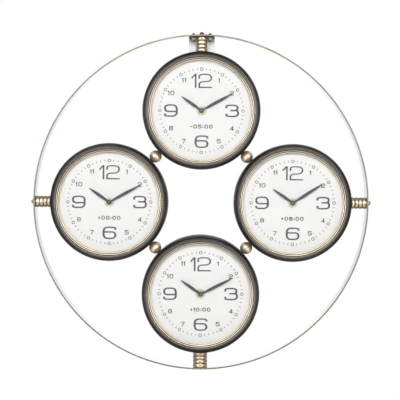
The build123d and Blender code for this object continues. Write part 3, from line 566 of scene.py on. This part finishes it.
# In millimetres, with places from the middle of a dial
SHORTEST_STEP = 0.01
Style = namedtuple("Style", "height upright level gap")
TOP_STYLE = Style(height=22.4, upright=2.6, level=1.9, gap=3.0)
TOP_PLACE, TOP_WIDTHS = (0, 47.3), (8.6, 21.8)
BIG_STYLE = Style(height=19.9, upright=3.2, level=2.25, gap=0)
BIG_PLACES = {"3": (49.0, 0), "6": (0.4, -49.2), "9": (-48.6, 0)}
BIG_WIDTH = 21.9
SMALL_STYLE = Style(height=7.0, upright=1.45, level=1.2, gap=1.5)
SMALL_HOURS = (1, 2, 4, 5, 7, 8, 10, 11)
SMALL_REACH, SMALL_WIDTH, SMALL_ONE = 55.8, 6.4, 2.5
TRACK_REACH, TRACK_RING, TRACK_STROKE = 66.0, 2.15, 0.95
TICK_LENGTH, TICK_WIDTH = 3.0, 0.85
ZONE_STYLE = Style(height=6.2, upright=1.5, level=1.25, gap=1.6)
ZONE_PLACE = (0, -25.2)
ZONE_OFFSETS = {"top": "-05:00", "right": "+08:00", "bottom": "+10:00", "left": "+00:00"}
ZONE_WIDTHS, ZONE_WIDTH = {"-": 3.4, "+": 3.6, ":": 1.4, "1": 2.4}, 5.7
PIN_ROWS = ((1.15, 0.0), (1.15, 0.12), (0.95, 0.24), (0.5, 0.32))


def rounded(points, radii, closed=False):
    """A line whose corners are squarish curves of the given radii, and whether it is closed."""
    count = len(points)
    line = []
    for i, point in enumerate(points):
        here = Vector(point)
        radius = radii[i]
        if radius == 0 or (not closed and i in (0, count - 1)):
            line.append(here)
            continue
        to_last = Vector(points[i - 1]) - here
        to_next = Vector(points[(i + 1) % count]) - here
        start = here + to_last.normalized() * min(radius, to_last.length / 2)
        end = here + to_next.normalized() * min(radius, to_next.length / 2)
        for step in range(CORNER_STEPS + 1):
            t = step / CORNER_STEPS
            one = start.lerp(here, CORNER_PULL)
            two = end.lerp(here, CORNER_PULL)
            line.append(
                start * (1 - t) ** 3 + one * 3 * t * (1 - t) ** 2
                + two * 3 * t * t * (1 - t) + end * t ** 3)
    kept = [line[0]]
    for point in line[1:]:
        if (point - kept[-1]).length > SHORTEST_STEP:
            kept.append(point)
    if closed and (kept[0] - kept[-1]).length < SHORTEST_STEP:
        kept.pop()
    return kept, closed


def ribbon(mesh, line, closed, upright, level, middle):
    """Adds one closed strip of ink along a line. Upright and level runs have their own widths."""
    count = len(line)
    rows = []
    for i, point in enumerate(line):
        before = line[i - 1] if closed or i > 0 else point
        after = line[(i + 1) % count] if closed or i < count - 1 else point
        come, go = point - before, after - point
        first = come.normalized() if come.length else go.normalized()
        second = go.normalized() if go.length else first
        run = (first + second).normalized()
        bend = max(SHARPEST_BEND, run.dot(first))
        half = 0.5 * math.hypot(upright * run.y, level * run.x) / bend
        side = Vector((-run.y, run.x)) * half
        above, below = point + side, point - side
        edges = ((above, INK_FRONT), (below, INK_FRONT), (below, INK_BACK), (above, INK_BACK))
        rows.append([
            mesh.verts.new((middle[0] + place.x * MM, depth, middle[1] + place.y * MM))
            for place, depth in edges])
    for i in range(count if closed else count - 1):
        here, there = rows[i], rows[(i + 1) % count]
        for k in range(4):
            mesh.faces.new((here[k], there[k], there[(k + 1) % 4], here[(k + 1) % 4]))
    if not closed:
        mesh.faces.new(tuple(reversed(rows[0])))
        mesh.faces.new(tuple(rows[-1]))


def figure(mark, width, style):
    """The lines of one figure in a box that starts at (0, 0), each with whether it is closed."""
    height, upright, level, _ = style
    left, right = upright / 2, width - upright / 2
    low, high = level / 2, height - level / 2
    wide = min(width, height) * 0.34
    tight = wide * 0.8
    if mark == "0":
        box = [(left, low), (right, low), (right, high), (left, high)]
        return [rounded(box, [wide] * 4, True)]
    if mark == "1":
        flag = [(left * 0.6, height * 0.68), (right - upright * 0.35, high)]
        stem = [(right, 0), (right, height)]
        return [rounded(stem, [0, 0]), rounded(flag, [0, 0])]
    if mark == "2":
        line = [(left, height * 0.66), (left, high), (right, high), (right, height * 0.47),
                (left, height * 0.42), (left, low), (width, low)]
        return [rounded(line, [0, tight, wide, wide, tight, 0, 0])]
    if mark == "3":
        inner = width * 0.36
        waist = height * 0.525
        shy = right - width * 0.04
        upper = [(left, height * 0.70), (left, high), (shy, high), (shy, waist), (inner, waist)]
        lower = [(right * 0.7, waist), (right, waist), (right, low), (left, low),
                 (left, height * 0.28)]
        return [
            rounded(upper, [0, tight, wide, tight * 0.8, 0]),
            rounded(lower, [0, tight, wide, tight, 0]),
        ]
    if mark == "4":
        across = width * 0.74
        line = [(across, high), (left, height * 0.30), (width, height * 0.30)]
        stem = [(across, 0), (across, height)]
        return [rounded(line, [0, 0, 0]), rounded(stem, [0, 0])]
    if mark == "5":
        line = [(width * 0.96, high), (left, high), (left, height * 0.56), (right, height * 0.60),
                (right, low), (left, low), (left, height * 0.27)]
        return [rounded(line, [0, 0, 0, wide, wide, tight, 0])]
    if mark == "6":
        line = [(right, height * 0.74), (right, high), (left, high), (left, low), (right, low),
                (right, height * 0.57), (left, height * 0.57)]
        return [rounded(line, [0, tight, wide, wide, wide, tight, 0])]
    if mark == "7":
        return [rounded([(0, high), (right, high), (width * 0.34, 0)], [0, 0, 0])]
    if mark == "8":
        waist = height * 0.53
        inset_left, inset_right = left + width * 0.04, right - width * 0.04
        upper = [(inset_left, waist), (inset_right, waist), (inset_right, high), (inset_left, high)]
        lower = [(left, low), (right, low), (right, waist), (left, waist)]
        return [
            rounded(upper, [tight * 0.8] * 2 + [tight] * 2, True),
            rounded(lower, [tight] * 4, True),
        ]
    if mark == "9":
        turned = figure("6", width, style)
        return [
            ([Vector((width - p.x, height - p.y)) for p in line], closed)
            for line, closed in turned]
    centre, waist = width / 2, height * 0.5
    bar = [(0, waist), (width, waist)]
    if mark == "-":
        return [rounded(bar, [0, 0])]
    if mark == "+":
        stem = [(centre, waist - centre), (centre, waist + centre)]
        return [rounded(bar, [0, 0]), rounded(stem, [0, 0])]
    # The mark that is left is the colon
    dot = upright * 0.6
    dots = [
        [(centre - dot, height * share), (centre + dot, height * share)]
        for share in (0.24, 0.68)]
    return [rounded(line, [0, 0]) for line in dots]


def written(mesh, marks, centre, widths, style, middle):
    """Writes figures side by side with the given widths, centred on a point of the dial."""
    total = sum(widths) + style.gap * (len(marks) - 1)
    pen = centre[0] - total / 2
    for mark, width in zip(marks, widths):
        for line, closed in figure(mark, width, style):
            placed = [Vector((pen + p.x, centre[1] - style.height / 2 + p.y)) for p in line]
            ribbon(mesh, placed, closed, style.upright, style.level, middle)
        pen += width + style.gap


def ring_line(centre, radius):
    """A closed line round a centre, for the ring at each hour."""
    turns = [2 * math.pi * k / RING_STEPS for k in range(RING_STEPS)]
    return [
        Vector((centre[0] + radius * math.cos(turn), centre[1] + radius * math.sin(turn)))
        for turn in turns
    ]


def dial_figures(middle):
    """The figures of the twelve hours."""
    mesh = bmesh.new()
    written(mesh, "12", TOP_PLACE, TOP_WIDTHS, TOP_STYLE, middle)
    for mark, centre in BIG_PLACES.items():
        written(mesh, mark, centre, (BIG_WIDTH,), BIG_STYLE, middle)
    for hour in SMALL_HOURS:
        marks = str(hour)
        widths = [SMALL_ONE if mark == "1" else SMALL_WIDTH for mark in marks]
        turn = math.radians(30 * hour)
        centre = (SMALL_REACH * math.sin(turn), SMALL_REACH * math.cos(turn))
        written(mesh, marks, centre, widths, SMALL_STYLE, middle)
    return mesh


def minute_track(middle):
    """A ring at each hour and a tick at each minute between."""
    mesh = bmesh.new()
    for minute in range(60):
        turn = math.radians(6 * minute)
        way = Vector((math.sin(turn), math.cos(turn)))
        if minute % 5 == 0:
            ring = ring_line(way * TRACK_REACH, TRACK_RING)
            ribbon(mesh, ring, True, TRACK_STROKE, TRACK_STROKE, middle)
        else:
            ends = [way * (TRACK_REACH - TICK_LENGTH / 2), way * (TRACK_REACH + TICK_LENGTH / 2)]
            ribbon(mesh, ends, False, TICK_WIDTH, TICK_WIDTH, middle)
    return mesh


def zone_figures(marks, middle):
    """The clock's offset from universal time."""
    mesh = bmesh.new()
    widths = [ZONE_WIDTHS.get(mark, ZONE_WIDTH) for mark in marks]
    written(mesh, marks, ZONE_PLACE, widths, ZONE_STYLE, middle)
    return mesh


def hand_pin(middle):
    """A domed pin in the cap of the minute hand."""
    mesh = bmesh.new()
    turns = [2 * math.pi * k / PIN_SIDES for k in range(PIN_SIDES)]
    rows = []
    for radius, depth in PIN_ROWS:
        rows.append([
            mesh.verts.new((
                middle[0] + radius * MM * math.cos(turn),
                CAP_FRONT - depth * MM,
                middle[1] + radius * MM * math.sin(turn)))
            for turn in turns])
    for lower, upper in zip(rows, rows[1:]):
        for k in range(PIN_SIDES):
            after = (k + 1) % PIN_SIDES
            mesh.faces.new((lower[k], lower[after], upper[after], upper[k]))
    mesh.faces.new(rows[-1])
    mesh.faces.new(tuple(reversed(rows[0])))
    return mesh


def linked(name, data):
    """A new object in the scene."""
    thing = bpy.data.objects.new(name, data)
    bpy.context.scene.collection.objects.link(thing)
    return thing


def shown(mesh, name, body, finish, smooth=False):
    """Makes an object of a mesh under construction and sets it on a body."""
    bmesh.ops.recalc_face_normals(mesh, faces=mesh.faces)
    data = bpy.data.meshes.new(name)
    mesh.to_mesh(data)
    mesh.free()
    for polygon in data.polygons:
        polygon.use_smooth = smooth
    data.materials.append(finish)
    piece = linked(name, data)
    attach(piece, body)


for clock, middle in CENTRES.items():
    prints = {
        "dial_figures": dial_figures(middle),
        "minute_track": minute_track(middle),
        "zone_figures": zone_figures(ZONE_OFFSETS[clock], middle),
    }
    for name, mesh in prints.items():
        shown(mesh, f"{clock}_{name}", ROOT, ink)
    pin = hand_pin(middle)
    shown(pin, f"{clock}_hand_pin", f"{clock}_minute", pin_steel, smooth=True)


# Light, floor and camera

HOOP_MIDDLE = Vector((0.0, HOOP_FRONT, HOOP_HEIGHT))


def panel(name, place, width, height, level):
    """A soft light box of the given brightness that faces the middle of the hoop."""
    lamp = bpy.data.lights.new(name, "AREA")
    lamp.shape = "RECTANGLE"
    lamp.size = width
    lamp.size_y = height
    lamp.energy = level * math.pi * width * height
    box = linked(name, lamp)
    box.location = place
    box.rotation_euler = (HOOP_MIDDLE - Vector(place)).to_track_quat("-Z", "Y").to_euler()
    box.visible_camera = False
    return box


FILL_PLACE, FILL_SIZE, FILL_LEVEL = (0.0, -2.30, HOOP_HEIGHT + 0.36), (0.9, 0.55), 23.6
STRIP_SIZE, STRIP_LEVEL = (0.62, 1.5), 3.4
STRIP_PLACES = {
    "light_left": (-1.10, -1.62, HOOP_HEIGHT + 0.10),
    "light_right": (1.10, -1.62, HOOP_HEIGHT + 0.10),
}
ABOVE_PLACE, ABOVE_SIZE, ABOVE_LEVEL = (0.0, -1.70, HOOP_HEIGHT + 0.86), (1.5, 0.75), 2.9
# The fill light only brightens, and the other three only show as reflections
fill = panel("light_fill", FILL_PLACE, *FILL_SIZE, FILL_LEVEL)
fill.visible_glossy = False
fill.visible_transmission = False
for name, place in STRIP_PLACES.items():
    strip = panel(name, place, *STRIP_SIZE, STRIP_LEVEL)
    strip.visible_diffuse = False
above = panel("light_above", ABOVE_PLACE, *ABOVE_SIZE, ABOVE_LEVEL)
above.visible_diffuse = False

# The surroundings are white to the camera and through glass. In reflections they are greyer on
# the front side, and for all other light they are dim.
MIRRORED_FRONT = colour(0.70, 0.70, 0.705)
MIRRORED_TURN = (-0.15, 0.35)
AMBIENT = colour(0.24, 0.24, 0.243)
world = bpy.data.worlds.new("studio")
bpy.context.scene.world = world
world.use_nodes = True
background = world.node_tree.nodes["Background"]
sky = Nodes(world.node_tree)
depth_way = sky.split(sky.add("ShaderNodeTexCoord").outputs["Generated"])[1]
rays = sky.add("ShaderNodeLightPath").outputs
mirrored = sky.blend(sky.fade(depth_way, *MIRRORED_TURN), MIRRORED_FRONT, WHITE)
lit = sky.blend(rays["Is Glossy Ray"], AMBIENT, mirrored)
seen = sky.math("MAXIMUM", rays["Is Camera Ray"], rays["Is Transmission Ray"])
sky.feed(background.inputs["Color"], sky.blend(seen, lit, WHITE))
sky.feed(background.inputs["Strength"], 1.0)

FLOOR_LEVEL, FLOOR_REACH, FLOOR_CELLS = -1.35, 3.5, 8
FLOOR_GLOW, FLOOR_MIRRORED = 0.66, 0.30


def floor_finish():
    """Pale and matt, with a glow for the camera and for reflections, to join the white around."""
    f = Finish("pale_floor")
    speckle = f.noise(f.place, 60.0, 3.0, 0.5)
    rays = f.add("ShaderNodeLightPath").outputs
    seen = f.math("MAXIMUM", rays["Is Camera Ray"], rays["Is Transmission Ray"])
    glow = f.math("MULTIPLY", seen, FLOOR_GLOW)
    mirrored = f.math("MULTIPLY", rays["Is Glossy Ray"], FLOOR_MIRRORED)
    return f.surface(
        Base_Color=f.blend(speckle, colour(0.86, 0.86, 0.855), colour(0.82, 0.82, 0.815)),
        Roughness=0.7,
        Emission_Color=WHITE,
        Emission_Strength=f.math("MAXIMUM", glow, mirrored),
    )


floor_mesh = bmesh.new()
bmesh.ops.create_grid(
    floor_mesh, x_segments=FLOOR_CELLS, y_segments=FLOOR_CELLS, size=FLOOR_REACH)
floor_data = bpy.data.meshes.new("floor")
floor_mesh.to_mesh(floor_data)
floor_mesh.free()
floor_data.materials.append(floor_finish())
floor = linked("floor", floor_data)
floor.location = (0, 0, FLOOR_LEVEL)

CAMERA_DISTANCE = 1.95
CAMERA_ASIDE, CAMERA_UP = -0.0015, 0.0040
CAMERA_RISE = math.radians(1.5)
CAMERA_ROLL = math.radians(0.32)
VIEW_WIDTH = 400 * 1.590 * MM
camera_data = bpy.data.cameras.new("camera")
camera_data.sensor_fit = "HORIZONTAL"
camera_data.angle = 2 * math.atan(VIEW_WIDTH / 2 / CAMERA_DISTANCE)
camera_data.clip_start = 0.05
camera = linked("camera", camera_data)
tilt = Matrix.Rotation(math.radians(90) - CAMERA_RISE, 4, "X")
look = tilt @ Matrix.Rotation(CAMERA_ROLL, 4, "Z")
camera_place = Vector((
    CAMERA_ASIDE,
    HOOP_FRONT - CAMERA_DISTANCE * math.cos(CAMERA_RISE),
    HOOP_HEIGHT + CAMERA_UP + CAMERA_DISTANCE * math.sin(CAMERA_RISE)))
camera.matrix_world = Matrix.Translation(camera_place) @ look
bpy.context.scene.camera = camera
bpy.context.scene.view_settings.view_transform = "Standard"
